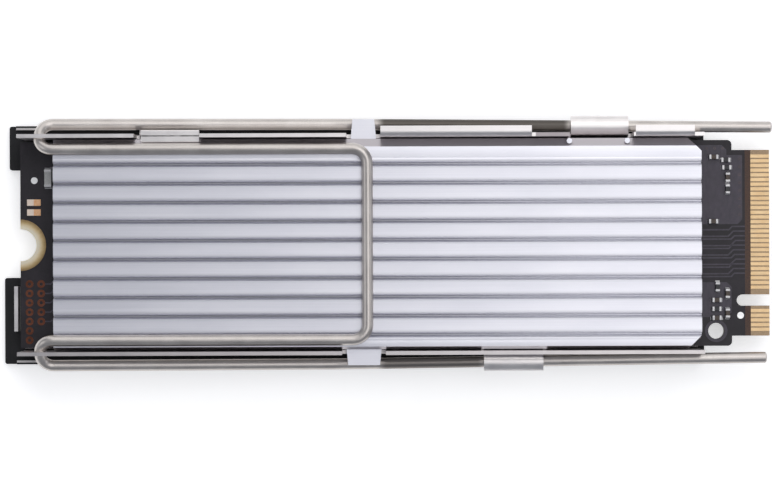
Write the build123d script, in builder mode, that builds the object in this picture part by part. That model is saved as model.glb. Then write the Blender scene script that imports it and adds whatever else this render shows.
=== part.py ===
from build123d import *
from math import copysign, hypot
import os

os.makedirs("parts", exist_ok=True)

# A long, narrow solid-state drive board under a ribbed heat sink, held in a sheet-steel channel by
# one bent spring wire, on a black tray. Millimetres. X runs along the board towards its edge
# connector, Y across it and Z up. The origin is the middle of the footprint, on the resting surface.

# Circuit board, to the 22 by 80 mm card outline
board_length = 80.0
board_width = 22.0
board_thickness = 0.8
tongue_length = 4.0
tongue_inset = 1.075
shoulder_round = 0.5
key_width = 1.2
key_depth = 3.5
key_offset = 6.125
screw_notch_radius = 1.75
screw_pad_width = 1.0
tooling_hole_radius = 0.85
tooling_hole_from_front = 5.7
tooling_hole_from_side = 1.6

# Edge contacts: the two faces share one pitch, half a step apart, with none beside the key slot
contact_pitch = 0.5
contact_width = 0.35
contact_length = 2.0
contact_inset = 0.675
key_margin = 0.4
copper_thickness = 0.05

# Stack, from the resting surface upwards
tray_thickness = 1.0
sheet_thickness = 0.4
lower_pad_thickness = 0.5
chip_height = 1.3
upper_pad_thickness = 0.6
sink_foot_height = 1.9
rib_height = 0.7

# Heat sink
sink_setback = 4.0
sink_front_setback = 7.7
foot_clearance = 0.15
upper_side_lean = 0.85
lower_side_lean = 0.3
groove_count = 10
groove_pitch = 2.0
groove_row_y = -0.55
groove_depth = 0.5
groove_mouth = 0.56
groove_floor = 0.06
rib_crown = 0.04
corner_cut = 1.4
ear_thickness = 1.4
ear_offset = -0.4
upper_ear_root = 2.7
upper_ear_tip = 2.3
upper_ear_past_wire = 0.45
lower_ear_root = 3.7
lower_ear_tip = 3.35
lower_ear_past_wire = 0.05
ear_overlap = 0.9
pip_radius = 0.3
pip_sides = 8
pip_below_ribs = 0.1

# Packages in one row along the board, evenly spaced: sizes along X and Y
row_setback = 6.5
row_front_setback = 9.5
package_chamfer = 0.12
flash_size = (11.5, 13.5)
dram_size = (7.5, 11.0)
controller_size = (11.0, 11.0)
power_chip_size = (3.0, 3.0)
power_chip_height = 0.8
power_chip_y = 4.5
boot_chip_size = (3.0, 4.0)
boot_chip_height = 0.6
boot_chip_y = -4.5
crystal_size = (2.0, 1.6)
crystal_height = 0.5
crystal_y = 0.0
inductor_size = (2.5, 2.0)
inductor_height = 1.0
inductor_ys = (7.5, 4.6, 1.7)

# Heat-conducting pads and bare pads on the board
pad_inset = 1.0
fiducial_radius = 0.36
fiducial_back = (1.5, 6.9)
fiducial_front = (3.1, 2.175)
bar_pad_size = (1.45, 0.68)
bar_pad_from_back = 1.45
bar_pad_ys = (4.55, 3.5)

# Chip parts: their sizes along X and Y, and places in Y for those between the packages
small_chip = (1.0, 0.5)
small_chip_across = (0.5, 1.0)
capacitor_height = 0.5
resistor_height = 0.35
edge_capacitor_size = (0.8, 1.9)
edge_capacitor_place = (3.0, 3.85)
gap_capacitor_ys = (5.0, 3.0)
gap_resistor_y = -4.0

# Chip parts by the connector: distances from the front end and from a long side of the board,
# where a negative one is from the lower side
capacitors_along = ((5.95, 1.83), (6.0, 8.7), (5.65, -4.9), (5.65, -3.0))
capacitors_across = ((4.45, 4.0), (4.5, -5.6), (4.5, -3.5))
resistors_along = ((4.55, 2.95), (4.65, 2.15), (5.65, -3.95))
resistors_across = ((4.45, 5.25), (5.55, -6.3))

# Steel channel
board_side_clearance = 0.25
bend_inside_radius = 0.2
channel_setback = 0.3
channel_front_margin = 0.2
wall_above_slot = 0.33
ear_notch_gap = 0.45
ear_notch_drop = 0.2
tab_relief = 0.3
upper_hook_length = 6.1
lower_hook_length = 6.3
lower_hook_from_bar = 12.3
upper_hook_sweep = 150.0
lower_hook_sweep = 140.0
window_strip = 1.2
lip_width = 0.75
lip_drop = 0.5
front_lip_length = 6.2
front_lip_inset = 1.0
lip_to_hook_gap = 0.5
long_lip_to_hook = 4.3
rest_tab_length = 6.3
rest_tab_from_bar = -24.2
rest_tab_reach = 1.35
rest_tab_gap = 0.05
stop_width = 4.8
stop_center_y = -6.8
stop_clearance = 0.25
stop_rise = 0.3

# Spring wire
wire_diameter = 1.2
wire_end_chamfer = 0.15
wire_side_gap = 0.5
wire_seat_gap = 0.02
wire_under_ear = 0.1
wire_slot_clearance = 0.1
inner_run_inset = 0.2
bar_from_sink_middle = -1.05
bar_corner_radius = 1.6
loop_from_sink = 1.4
loop_drop = 1.7
loop_straight = 0.4
gentle_bend_radius = 8.0
latched_run_start = 3.0
wire_past_board = 0.1
lower_end_shortfall = 0.6
upper_end_gap = 0.05
lower_end_gap = -0.05

# Tray
rim_gap = 0.65
rim_thickness = 0.45
rim_height = 1.1
rim_setback = 1.4
tray_tab_reach = 1.9
upper_tab_shortfall = 0.55
tray_front_margin = 0.7
tray_corner = 0.25
screw_cutout_low = -3.5
screw_cutout_high = 8.05
screw_cutout_depth = 2.3

# Positions along X
part_length = tray_tab_reach + board_length + wire_past_board
tray_back = -part_length / 2
board_back = tray_back + tray_tab_reach
board_front = board_back + board_length
sink_back = board_back + sink_setback
sink_front = board_front - sink_front_setback
sink_length = sink_front - sink_back
bar_x = (sink_back + sink_front) / 2 + bar_from_sink_middle
ear_x = bar_x + ear_offset
loop_x = sink_back - loop_from_sink
stop_back = board_back - stop_clearance - sheet_thickness
channel_back = board_back + channel_setback
channel_front = sink_front + channel_front_margin
tray_front = channel_front + tray_front_margin
cutout_front = board_back + screw_cutout_depth
front_lip_end = channel_front - front_lip_inset
front_lip_start = front_lip_end - front_lip_length
upper_hook_end = front_lip_start - lip_to_hook_gap
upper_hook_start = upper_hook_end - upper_hook_length
lower_hook_start = bar_x + lower_hook_from_bar
lower_hook_end = lower_hook_start + lower_hook_length
rest_tab_start = bar_x + rest_tab_from_bar
rest_tab_end = rest_tab_start + rest_tab_length
latched_run_x = ear_x - latched_run_start
upper_end_x = board_front + wire_past_board
lower_end_x = upper_end_x - lower_end_shortfall

# Distances from the centre line
wire_radius = wire_diameter / 2
board_half = board_width / 2
tongue_half = board_half - tongue_inset
channel_inner = board_half + board_side_clearance
channel_outer = channel_inner + sheet_thickness
channel_middle = (channel_inner + channel_outer) / 2
sink_foot_half = channel_inner - foot_clearance
upper_rib_edge = sink_foot_half - upper_side_lean
lower_rib_edge = lower_side_lean - sink_foot_half
outer_run_y = channel_outer + wire_side_gap + wire_radius
inner_run_y = upper_rib_edge - inner_run_inset
upper_end_y = channel_outer + wire_radius + upper_end_gap
lower_end_y = channel_outer + wire_radius + lower_end_gap
tray_half = channel_outer + rim_gap + rim_thickness

# The outer runs close in towards the walls past the ears, and each hook sits on its run's line
upper_toe_in = (outer_run_y - upper_end_y) / (upper_end_x - latched_run_x)
lower_toe_in = (outer_run_y - lower_end_y) / (lower_end_x - latched_run_x)
upper_hook_y = outer_run_y - upper_toe_in * ((upper_hook_start + upper_hook_end) / 2 - latched_run_x)
lower_hook_y = outer_run_y - lower_toe_in * ((lower_hook_start + lower_hook_end) / 2 - latched_run_x)

# Levels along Z: the wire's inner runs and bar lie on the ribs, its outer runs pass under the ears
floor_z = tray_thickness
lower_pad_z = floor_z + sheet_thickness
board_z = lower_pad_z + lower_pad_thickness
board_top = board_z + board_thickness
upper_pad_z = board_top + chip_height
sink_z = upper_pad_z + upper_pad_thickness
foot_top = sink_z + sink_foot_height
rib_top = foot_top + rib_height
seat_z = rib_top + wire_radius + wire_seat_gap
loop_z = seat_z - loop_drop
latched_z = sink_z - wire_under_ear - wire_radius

# Upright slots in the walls, where the wire's end loops slope down through them
loop_slope = loop_drop / (outer_run_y - inner_run_y)
slot_z = seat_z - (channel_middle - inner_run_y) * loop_slope
slot_half_width = wire_radius + wire_slot_clearance
wire_half_height = hypot(1, loop_slope) * wire_radius + loop_slope * sheet_thickness / 2
slot_half_height = wire_half_height + wire_slot_clearance
wall_top = slot_z + slot_half_height + wall_above_slot

# A rest tab just under the upper outer run's slope
run_slope = (loop_z - latched_z) / (latched_run_x - loop_x)
run_over_tab_z = latched_z + (latched_run_x - rest_tab_end) * run_slope
rest_tab_top = run_over_tab_z - hypot(1, run_slope) * wire_radius - rest_tab_gap
rest_tab_z = rest_tab_top - sheet_thickness

# Black tray: a flat floor with a thin rim along each side and two tabs beside the screw cut-out
with BuildPart() as base_tray:
    with BuildSketch() as tray_outline:
        with Locations((tray_back, 0)):
            Rectangle(tray_front - tray_back, 2 * tray_half, align=(Align.MIN, Align.CENTER))
        with Locations((tray_back, screw_cutout_low)):
            Rectangle(
                cutout_front - tray_back,
                screw_cutout_high - screw_cutout_low,
                align=(Align.MIN, Align.MIN),
                mode=Mode.SUBTRACT,
            )
        with Locations((tray_back, screw_cutout_high)):
            Rectangle(
                upper_tab_shortfall,
                tray_half - screw_cutout_high,
                align=(Align.MIN, Align.MIN),
                mode=Mode.SUBTRACT,
            )
        fillet(tray_outline.vertices(), radius=tray_corner)
    extrude(amount=tray_thickness)
    rim_back = tray_back + rim_setback
    rim_middle_y = tray_half - rim_thickness / 2
    with BuildSketch(Plane.XY.offset(tray_thickness)):
        with Locations((rim_back, rim_middle_y), (rim_back, -rim_middle_y)):
            Rectangle(
                tray_front - tray_corner - rim_back,
                rim_thickness,
                align=(Align.MIN, Align.CENTER),
            )
    extrude(amount=rim_height)
base_tray.part.label = "base_tray"
export_step(base_tray.part, "parts/base_tray.step")

# Steel channel: one folded sheet with latch hooks, lips and a rest tab bent out of its walls
with BuildPart() as retainer_channel:
    with BuildSketch(Plane.YZ.offset(channel_back)):
        with BuildLine():
            FilletPolyline(
                (-channel_outer, wall_top),
                (-channel_outer, floor_z),
                (channel_outer, floor_z),
                (channel_outer, wall_top),
                radius=bend_inside_radius + sheet_thickness,
            )
            offset(amount=sheet_thickness, side=Side.LEFT)
        make_face()
    extrude(amount=channel_front - channel_back)
    # Cut-out over the screw post
    with BuildSketch(Plane.XY.offset(floor_z)):
        with Locations((channel_back, screw_cutout_low)):
            Rectangle(
                cutout_front - channel_back,
                screw_cutout_high - screw_cutout_low,
                align=(Align.MIN, Align.MIN),
            )
    extrude(amount=sheet_thickness, mode=Mode.SUBTRACT)
    # Notches in the walls, and a window in the lower one: side, ends along X, lower and upper edge
    ear_notch_z = sink_z - ear_notch_drop
    tab_notch_z = rest_tab_z - bend_inside_radius
    window_top = wall_top - window_strip
    upper_notch_half = upper_ear_root / 2 + ear_notch_gap
    lower_notch_half = lower_ear_root / 2 + ear_notch_gap
    wall_notches = (
        (1, ear_x - upper_notch_half, ear_x + upper_notch_half, ear_notch_z, wall_top),
        (-1, ear_x - lower_notch_half, ear_x + lower_notch_half, ear_notch_z, wall_top),
        (1, rest_tab_start - tab_relief, rest_tab_end + tab_relief, tab_notch_z, wall_top),
        (1, upper_hook_start - tab_relief, upper_hook_end + tab_relief, latched_z, wall_top),
        (-1, lower_hook_start - tab_relief, lower_hook_end + tab_relief, latched_z, window_top),
    )
    for side, notch_start, notch_end, notch_low, notch_high in wall_notches:
        with Locations((notch_start, side * channel_middle, notch_low)):
            Box(
                notch_end - notch_start,
                2 * sheet_thickness,
                notch_high - notch_low,
                align=(Align.MIN, Align.CENTER, Align.MIN),
                mode=Mode.SUBTRACT,
            )
    # Hooks curled from the walls over the wire, round the line that it takes there
    wall_hooks = (
        (1, upper_hook_start, upper_hook_length, upper_hook_y, upper_hook_sweep),
        (-1, lower_hook_start, lower_hook_length, lower_hook_y, lower_hook_sweep),
    )
    for side, hook_start, hook_length, hook_y, hook_sweep in wall_hooks:
        hook_radius = hook_y - channel_outer
        with BuildSketch(Plane.YZ.offset(hook_start)):
            with BuildLine():
                Line((side * channel_outer, floor_z), (side * channel_outer, latched_z))
                CenterArc(
                    (side * hook_y, latched_z),
                    hook_radius,
                    90 + side * 90,
                    -side * hook_sweep,
                )
                offset(amount=sheet_thickness, side=Side.LEFT if side > 0 else Side.RIGHT)
            make_face()
        extrude(amount=hook_length)
    # Rest tab and lips: the wall's upper edge folded outwards
    long_lip_start = ear_x + upper_notch_half
    long_lip_end = upper_hook_start - long_lip_to_hook
    folded_edges = (
        (rest_tab_start, rest_tab_length, rest_tab_z, rest_tab_reach),
        (long_lip_start, long_lip_end - long_lip_start, wall_top - lip_drop, lip_width),
        (front_lip_start, front_lip_length, wall_top - lip_drop, lip_width),
    )
    for edge_start, edge_length, edge_z, edge_reach in folded_edges:
        with Locations((edge_start, channel_middle, edge_z - bend_inside_radius)):
            Box(
                edge_length,
                2 * sheet_thickness,
                wall_top,
                align=(Align.MIN, Align.CENTER, Align.MIN),
                mode=Mode.SUBTRACT,
            )
        with BuildSketch(Plane.YZ.offset(edge_start)):
            with BuildLine():
                FilletPolyline(
                    (channel_outer, edge_z - sheet_thickness),
                    (channel_outer, edge_z),
                    (channel_outer + edge_reach, edge_z),
                    radius=bend_inside_radius,
                )
                offset(amount=sheet_thickness, side=Side.LEFT)
            make_face()
        extrude(amount=edge_length)
    # Board stop: a strip of the floor that reaches past the board and is turned up behind it
    with Locations((stop_back, stop_center_y, floor_z)):
        Box(
            channel_back - stop_back,
            stop_width,
            sheet_thickness,
            align=(Align.MIN, Align.CENTER, Align.MIN),
        )
        Box(
            sheet_thickness,
            stop_width,
            board_top + stop_rise - floor_z,
            align=(Align.MIN, Align.CENTER, Align.MIN),
        )
    # Slots that the wire's end loops pass through
    with BuildSketch(Plane.XZ):
        with Locations((loop_x, slot_z)):
            SlotOverall(2 * slot_half_height, 2 * slot_half_width, rotation=90)
    extrude(amount=channel_outer, both=True, mode=Mode.SUBTRACT)
retainer_channel.part.label = "retainer_channel"
export_step(retainer_channel.part, "parts/retainer_channel.step")

# Spring wire: from its upper free end along the wall, back through the loop and over the bar
loop_radius = (hypot(outer_run_y - inner_run_y, loop_drop) - loop_straight) / 2
with BuildPart() as wire_clip:
    with BuildLine() as wire_route:
        FilletPolyline(
            (upper_end_x, upper_end_y, latched_z),
            (latched_run_x, outer_run_y, latched_z),
            (loop_x, outer_run_y, loop_z),
            (loop_x, inner_run_y, seat_z),
            (bar_x, inner_run_y, seat_z),
            (bar_x, -inner_run_y, seat_z),
            (loop_x, -inner_run_y, seat_z),
            (loop_x, -outer_run_y, loop_z),
            (latched_run_x, -outer_run_y, latched_z),
            (lower_end_x, -lower_end_y, latched_z),
            radius=[
                gentle_bend_radius,
                loop_radius,
                loop_radius,
                bar_corner_radius,
                bar_corner_radius,
                loop_radius,
                loop_radius,
                gentle_bend_radius,
            ],
        )
    with BuildSketch(Plane(origin=wire_route.line @ 0, z_dir=wire_route.line % 0)):
        Circle(wire_radius)
    sweep()
    chamfer(wire_clip.faces().filter_by(GeomType.PLANE).edges(), length=wire_end_chamfer)
wire_clip.part.label = "wire_clip"
export_step(wire_clip.part, "parts/wire_clip.step")

# Heat sink: an extruded block with crowned ribs between shallow grooves, sloped along its upper edges,
# with an ear over each outer run of the wire
groove_edges = [upper_rib_edge]
for groove in range(groove_count):
    groove_y = groove_row_y + (groove_count - 1) * groove_pitch / 2 - groove * groove_pitch
    groove_edges += [groove_y + groove_mouth / 2, groove_y - groove_mouth / 2]
groove_edges.append(lower_rib_edge)
rib_shoulder = rib_top - rib_crown
groove_z = rib_top - groove_depth
groove_slant = (groove_mouth - groove_floor) / 2
with BuildPart() as heatsink:
    with BuildSketch(Plane.YZ.offset(sink_back)):
        with BuildLine():
            for rib_start, rib_end in zip(groove_edges[0::2], groove_edges[1::2]):
                ThreePointArc(
                    (rib_start, rib_shoulder),
                    ((rib_start + rib_end) / 2, rib_top),
                    (rib_end, rib_shoulder),
                )
            for groove_start, groove_end in zip(groove_edges[1:-1:2], groove_edges[2:-1:2]):
                Polyline(
                    (groove_start, rib_shoulder),
                    (groove_start - groove_slant, groove_z),
                    (groove_end + groove_slant, groove_z),
                    (groove_end, rib_shoulder),
                )
            Polyline(
                (lower_rib_edge, rib_shoulder),
                (-sink_foot_half, foot_top),
                (-sink_foot_half, sink_z),
                (sink_foot_half, sink_z),
                (sink_foot_half, foot_top),
                (upper_rib_edge, rib_shoulder),
            )
        make_face()
    extrude(amount=sink_length)
    # Front corners cut off in plan
    with BuildSketch(Plane.XY.offset(sink_z)):
        for side in (1, -1):
            with BuildLine():
                Polyline(
                    (sink_front - corner_cut, side * sink_foot_half),
                    (sink_front, side * sink_foot_half),
                    (sink_front, side * (sink_foot_half - corner_cut)),
                    close=True,
                )
            make_face()
    extrude(amount=rib_top - sink_z, mode=Mode.SUBTRACT)
    # Ears, tapered in plan, that reach out over the wire
    ear_root_y = sink_foot_half - ear_overlap
    with BuildSketch(Plane.XY.offset(sink_z)):
        for side, root, tip, reach in (
            (1, upper_ear_root, upper_ear_tip, outer_run_y + upper_ear_past_wire),
            (-1, lower_ear_root, lower_ear_tip, outer_run_y + lower_ear_past_wire),
        ):
            with BuildLine():
                Polyline(
                    (ear_x - root / 2, side * ear_root_y),
                    (ear_x - root / 2, side * sink_foot_half),
                    (ear_x - tip / 2, side * reach),
                    (ear_x + tip / 2, side * reach),
                    (ear_x + root / 2, side * sink_foot_half),
                    (ear_x + root / 2, side * ear_root_y),
                    close=True,
                )
            make_face()
    extrude(amount=ear_thickness)
    # Two small pips on the upper side, at the ends of the upper hook
    pip_y = sink_foot_half - pip_radius
    with BuildSketch(Plane.XY.offset(sink_z)):
        with Locations((upper_hook_start - pip_radius, pip_y), (upper_hook_end - pip_radius, pip_y)):
            RegularPolygon(pip_radius, pip_sides)
    extrude(amount=rib_top - pip_below_ribs - sink_z)
heatsink.part.label = "heatsink"
export_step(heatsink.part, "parts/heatsink.step")

# Circuit board: the card outline with its connector tongue, key slot, screw notch and tooling hole
with BuildPart() as circuit_board:
    with BuildSketch(Plane.XY.offset(board_z)) as board_outline:
        with Locations((board_back, 0)):
            Rectangle(board_length - tongue_length, board_width, align=(Align.MIN, Align.CENTER))
        fillet(board_outline.vertices().group_by(Axis.X)[-1], radius=shoulder_round)
        with Locations((board_front, 0)):
            Rectangle(
                tongue_length + shoulder_round,
                2 * tongue_half,
                align=(Align.MAX, Align.CENTER),
            )
        with Locations((board_front, -key_offset)):
            Rectangle(
                key_depth - key_width / 2,
                key_width,
                align=(Align.MAX, Align.CENTER),
                mode=Mode.SUBTRACT,
            )
        with Locations((board_front - key_depth + key_width / 2, -key_offset)):
            Circle(key_width / 2, mode=Mode.SUBTRACT)
        with Locations((board_back, 0)):
            Circle(screw_notch_radius, mode=Mode.SUBTRACT)
        with Locations((board_front - tooling_hole_from_front, tooling_hole_from_side - board_half)):
            Circle(tooling_hole_radius, mode=Mode.SUBTRACT)
    extrude(amount=board_thickness)
circuit_board.part.label = "circuit_board"
export_step(circuit_board.part, "parts/circuit_board.step")

# Gold contacts on both faces of the tongue, on alternate half pitches
first_contact_y = tongue_half - contact_inset
half_pitch = contact_pitch / 2
contact_steps = round(2 * first_contact_y / half_pitch)
key_clearance = key_width / 2 + key_margin
contact_faces = (
    ("edge_contacts_top", board_top, 0),
    ("edge_contacts_bottom", board_z - copper_thickness, 1),
)
for contacts_name, contacts_z, first_step in contact_faces:
    with BuildPart() as contacts:
        with BuildSketch(Plane.XY.offset(contacts_z)):
            for step in range(first_step, contact_steps + 1, 2):
                contact_y = first_contact_y - step * half_pitch
                if abs(contact_y + key_offset) > key_clearance:
                    with Locations((board_front, contact_y)):
                        Rectangle(contact_length, contact_width, align=(Align.MAX, Align.CENTER))
        extrude(amount=copper_thickness)
    contacts.part.label = contacts_name
    export_step(contacts.part, f"parts/{contacts_name}.step")

# Plated screw notch: a half ring on each face, joined by the lining of the notch
screw_pad_radius = screw_notch_radius + screw_pad_width
with BuildPart() as screw_notch_plating:
    with BuildSketch(Plane.XY.offset(board_z - copper_thickness)):
        with Locations((board_back, 0)):
            Circle(screw_pad_radius)
            Circle(screw_notch_radius - copper_thickness, mode=Mode.SUBTRACT)
            Rectangle(
                screw_pad_radius,
                2 * screw_pad_radius,
                align=(Align.MAX, Align.CENTER),
                mode=Mode.SUBTRACT,
            )
    extrude(amount=board_thickness + 2 * copper_thickness)
    with BuildSketch(Plane.XY.offset(board_z)):
        with Locations((board_back, 0)):
            Circle(2 * screw_pad_radius)
            Circle(screw_notch_radius, mode=Mode.SUBTRACT)
    extrude(amount=board_thickness, mode=Mode.SUBTRACT)
screw_notch_plating.part.label = "screw_notch_plating"
export_step(screw_notch_plating.part, "parts/screw_notch_plating.step")

# The row of packages: the middle of each column, and of the gap after it
column_lengths = (
    flash_size[0],
    flash_size[0],
    dram_size[0],
    controller_size[0],
    max(power_chip_size[0], boot_chip_size[0], crystal_size[0]),
    inductor_size[0],
)
row_length = board_length - row_setback - row_front_setback
row_gap = (row_length - sum(column_lengths)) / (len(column_lengths) - 1)
column_xs = []
gap_xs = []
column_start = board_back + row_setback
for column_length in column_lengths:
    column_xs.append(column_start + column_length / 2)
    gap_xs.append(column_start + column_length + row_gap / 2)
    column_start += column_length + row_gap
gap_xs.pop()
first_flash_x, second_flash_x, dram_x, controller_x, support_x, inductor_x = column_xs

# Moulded packages, each with its upper edges chamfered
packages = (
    ("flash_chip_1", flash_size, chip_height, first_flash_x, 0),
    ("flash_chip_2", flash_size, chip_height, second_flash_x, 0),
    ("dram_chip", dram_size, chip_height, dram_x, 0),
    ("controller_chip", controller_size, chip_height, controller_x, 0),
    ("power_chip", power_chip_size, power_chip_height, support_x, power_chip_y),
    ("boot_memory_chip", boot_chip_size, boot_chip_height, support_x, boot_chip_y),
    ("clock_crystal", crystal_size, crystal_height, support_x, crystal_y),
)
for package_name, package_size, package_height, package_x, package_y in packages:
    with BuildPart() as package:
        with BuildSketch(Plane.XY.offset(board_top)):
            with Locations((package_x, package_y)):
                Rectangle(*package_size)
        extrude(amount=package_height)
        chamfer(package.faces().sort_by(Axis.Z)[-1].edges(), length=package_chamfer)
    package.part.label = package_name
    export_step(package.part, f"parts/{package_name}.step")

with BuildPart() as inductors:
    with BuildSketch(Plane.XY.offset(board_top)):
        for inductor_y in inductor_ys:
            with Locations((inductor_x, inductor_y)):
                Rectangle(*inductor_size)
    extrude(amount=inductor_height)
    chamfer(inductors.faces().group_by(Axis.Z)[-1].edges(), length=package_chamfer)
inductors.part.label = "inductors"
export_step(inductors.part, "parts/inductors.step")

# Heat-conducting pads: one under the board, one between the tall packages and the heat sink
pad_start = sink_back + pad_inset
pad_width = 2 * (upper_rib_edge - pad_inset)
lower_pad_end = sink_front - pad_inset
upper_pad_end = controller_x + controller_size[0] / 2 + pad_inset
with BuildPart() as lower_thermal_pad:
    with BuildSketch(Plane.XY.offset(lower_pad_z)):
        with Locations((pad_start, 0)):
            Rectangle(lower_pad_end - pad_start, pad_width, align=(Align.MIN, Align.CENTER))
    extrude(amount=lower_pad_thickness)
lower_thermal_pad.part.label = "lower_thermal_pad"
export_step(lower_thermal_pad.part, "parts/lower_thermal_pad.step")

with BuildPart() as upper_thermal_pad:
    with BuildSketch(Plane.XY.offset(upper_pad_z)):
        with Locations((pad_start, 0)):
            Rectangle(upper_pad_end - pad_start, pad_width, align=(Align.MIN, Align.CENTER))
    extrude(amount=upper_pad_thickness)
upper_thermal_pad.part.label = "upper_thermal_pad"
export_step(upper_thermal_pad.part, "parts/upper_thermal_pad.step")

# Chip capacitors and resistors, between the packages and by the connector
with BuildPart() as ceramic_capacitors:
    with BuildSketch(Plane.XY.offset(board_top)):
        for gap_x in gap_xs:
            for chip_y in gap_capacitor_ys:
                with Locations((gap_x, chip_y)):
                    Rectangle(*small_chip_across)
        for from_front, from_side in capacitors_along:
            with Locations((board_front - from_front, copysign(board_half, from_side) - from_side)):
                Rectangle(*small_chip)
        for from_front, from_side in capacitors_across:
            with Locations((board_front - from_front, copysign(board_half, from_side) - from_side)):
                Rectangle(*small_chip_across)
        with Locations((board_back + edge_capacitor_place[0], board_half - edge_capacitor_place[1])):
            Rectangle(*edge_capacitor_size)
    extrude(amount=capacitor_height)
ceramic_capacitors.part.label = "ceramic_capacitors"
export_step(ceramic_capacitors.part, "parts/ceramic_capacitors.step")

with BuildPart() as chip_resistors:
    with BuildSketch(Plane.XY.offset(board_top)):
        for gap_x in gap_xs:
            with Locations((gap_x, gap_resistor_y)):
                Rectangle(*small_chip_across)
        for from_front, from_side in resistors_along:
            with Locations((board_front - from_front, copysign(board_half, from_side) - from_side)):
                Rectangle(*small_chip)
        for from_front, from_side in resistors_across:
            with Locations((board_front - from_front, copysign(board_half, from_side) - from_side)):
                Rectangle(*small_chip_across)
    extrude(amount=resistor_height)
chip_resistors.part.label = "chip_resistors"
export_step(chip_resistors.part, "parts/chip_resistors.step")

# Tinned alignment dots near opposite corners
with BuildPart() as fiducial_dots:
    with BuildSketch(Plane.XY.offset(board_top)):
        with Locations(
            (board_back + fiducial_back[0], fiducial_back[1]),
            (board_front - fiducial_front[0], fiducial_front[1] - tongue_half),
        ):
            Circle(fiducial_radius)
    extrude(amount=copper_thickness)
fiducial_dots.part.label = "fiducial_dots"
export_step(fiducial_dots.part, "parts/fiducial_dots.step")

# Two bare copper bars beside the screw notch
with BuildPart() as test_pads:
    with BuildSketch(Plane.XY.offset(board_top)):
        for bar_y in bar_pad_ys:
            with Locations((board_back + bar_pad_from_back, bar_y)):
                Rectangle(*bar_pad_size)
    extrude(amount=copper_thickness)
test_pads.part.label = "test_pads"
export_step(test_pads.part, "parts/test_pads.step")
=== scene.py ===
import math

import bmesh
import bpy
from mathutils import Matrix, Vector


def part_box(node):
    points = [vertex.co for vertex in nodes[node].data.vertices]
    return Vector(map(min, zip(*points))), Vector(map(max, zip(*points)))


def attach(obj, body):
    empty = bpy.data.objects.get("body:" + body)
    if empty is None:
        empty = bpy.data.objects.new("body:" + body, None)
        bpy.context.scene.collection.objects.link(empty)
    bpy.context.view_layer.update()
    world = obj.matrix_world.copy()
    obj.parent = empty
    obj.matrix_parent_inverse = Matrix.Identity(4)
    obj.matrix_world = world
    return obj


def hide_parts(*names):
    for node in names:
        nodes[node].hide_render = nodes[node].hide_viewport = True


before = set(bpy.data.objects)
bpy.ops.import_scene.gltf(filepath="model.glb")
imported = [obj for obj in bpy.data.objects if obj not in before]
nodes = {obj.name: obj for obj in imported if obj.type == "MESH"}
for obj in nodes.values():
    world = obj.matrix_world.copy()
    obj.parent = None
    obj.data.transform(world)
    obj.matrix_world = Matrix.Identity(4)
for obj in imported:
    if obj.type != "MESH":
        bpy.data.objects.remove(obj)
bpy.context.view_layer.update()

scene = bpy.context.scene

# Metres throughout. X runs along the card towards its connector, Y across it and Z up.
MM = 0.001
BODY = "root"

# Photograph's frame and camera
PHOTO_WIDTH_PX = 772
PIXELS_PER_MM = 9.36
SENSOR_MM = 36.0
CAMERA_HEIGHT = 300 * MM
CAMERA_X = -0.05 * MM
CAMERA_Y = -0.64 * MM
CAMERA_ROLL = math.radians(-0.2)
CAMERA_NEAR = 10 * MM

# White floor, which glows by its lift where it is seen
FLOOR_REACH = 1.5
FLOOR_DROP = 0.02 * MM
FLOOR_ALBEDO = 0.9
FLOOR_LIFT = 0.51

# Studio light, with each lamp's name, place, width, height, radiance and colour
SKY_COLOR = (0.86, 0.9, 1.0)
SKY_STRENGTH = 0.32
NEUTRAL_LIGHT = (1.0, 0.985, 0.98)
WARM_LIGHT = (1.0, 0.98, 0.96)
LAMPS = (
    ("overhead_box", (0.195, 0.07, 0.70), 0.76, 0.46, 1.17, NEUTRAL_LIGHT),
    ("key_box", (0.10, 0.40, 0.60), 0.70, 0.28, 1.12, WARM_LIGHT),
    ("upper_side_box", (0.0, 0.72, 0.34), 1.0, 0.46, 0.9, WARM_LIGHT),
    ("left_box", (-0.55, 0.0, 0.42), 0.40, 0.34, 0.9, NEUTRAL_LIGHT),
    ("right_box", (0.75, 0.0, 0.35), 0.40, 0.34, 0.8, NEUTRAL_LIGHT),
)

# Places where the heat sink's painted shade and faint hollow look change
GROOVE_PITCH = 2.0 * MM
GROOVE_Y = 0.45 * MM
GROOVE_ROW = (-10.1 * MM, 9.0 * MM)
GROOVE_ROW_FADE = 0.1 * MM
GROOVE_SHADE_LIGHTENS = (-6.0 * MM, 24.0 * MM)
RIB_HOLLOW = 0.045 * MM
FLANK_Y = 10.25 * MM
FLANK_FADE = 0.05 * MM

# Parts of a groove, by a wave that is 1 along the groove's middle and 0 along a rib's
GROOVE_WHOLE = (0.35, 0.85)
GROOVE_SIDES = (0.86, 0.955)
GROOVE_SIDES_FADE = 0.03
GROOVE_FLOOR = (0.965, 0.995)

# Places of the painted highlight on the tray, the painted shade on the steel and the wire, and a darker
# stretch of the steel
RIM_GLINT_EDGE = 0.12 * MM
RIM_GLINT_LINE = (12.33 * MM, 12.55 * MM)
RIM_FADE = 0.03 * MM
STEEL_SHADE_BELOW = 1.55 * MM
STEEL_SHADE_FADE = 0.1 * MM
LOWER_WALL_Y = (-11.7 * MM, -11.0 * MM)
UPPER_WALL_Y = (11.0 * MM, 11.7 * MM)
UPPER_WALL_DARKER_X = (15.7 * MM, 19.7 * MM)
WALL_FADE = 0.05 * MM
WIRE_SHADE_UPPER = (-0.7 * MM, 19.4 * MM)
WIRE_SHADE_LOWER = (-0.6 * MM, 10.2 * MM)
WIRE_FADE = 0.6 * MM

# Soft steps over the height of a face's normal, which is 1 on level faces and 0 on upright ones
LEVEL_FACES = (0.85, 0.95)
SLOPED_FACES = (0.95, 0.85)
CUT_EDGES = (0.6, 0.4)

# Most of a noise pattern lies between these
NOISE_LOW = 0.3
NOISE_HIGH = 0.7

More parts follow.
